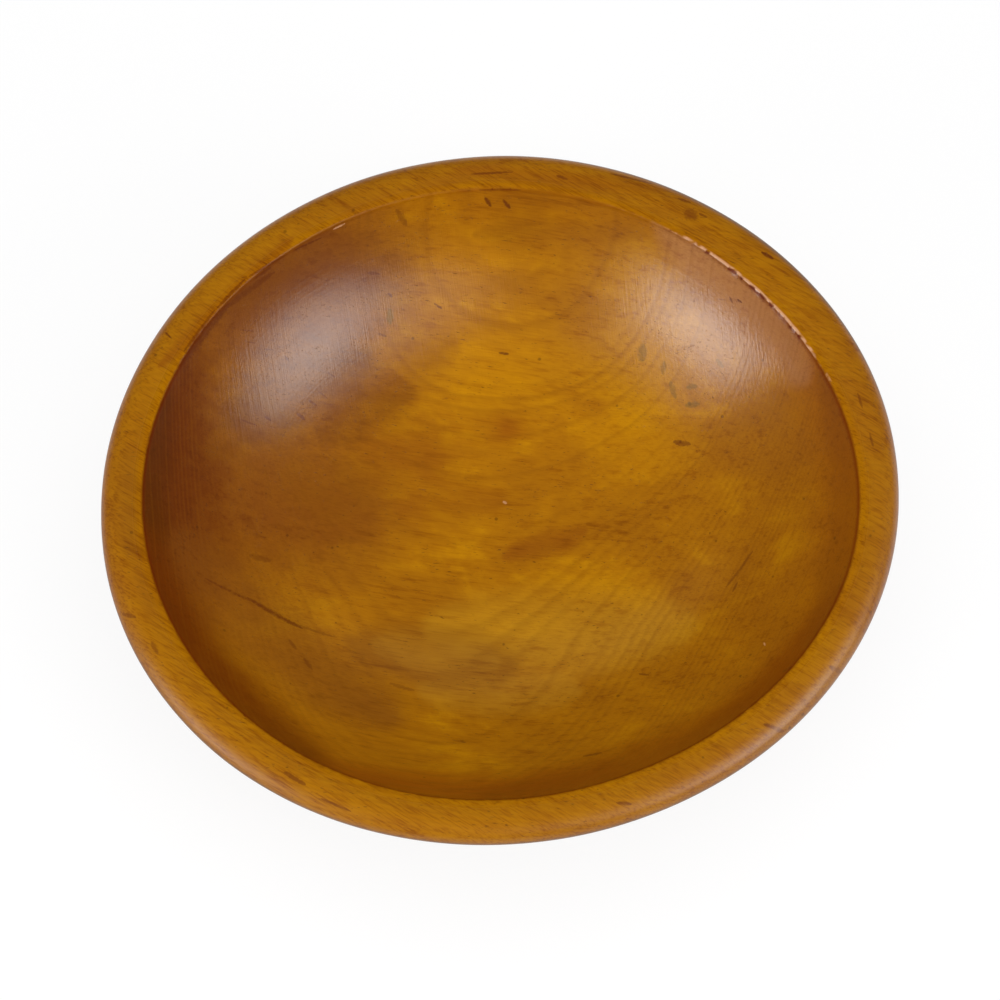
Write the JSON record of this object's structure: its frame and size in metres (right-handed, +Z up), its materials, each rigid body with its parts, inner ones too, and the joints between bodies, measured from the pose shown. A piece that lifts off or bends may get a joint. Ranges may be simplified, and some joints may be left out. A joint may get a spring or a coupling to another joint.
{
  "type": "dough bowl",
  "caption": "Shallow bowl turned from one piece of hardwood, slightly oval, with a thick rounded rim, a dished floor and a flat foot.",
  "frame": {"origin": "centre of the foot, on the surface that the bowl stands on", "axes": "+X along the grain, which is the bowl's longer way; +Y across the grain; +Z up, out of the hollow"},
  "size_m": [0.381, 0.352, 0.098],
  "materials": {
    "varnished_maple": "amber varnish, worn to a satin"
  },
  "bodies": {
    "root": {"bowl": "varnished_maple"}
  },
  "joints": []
}
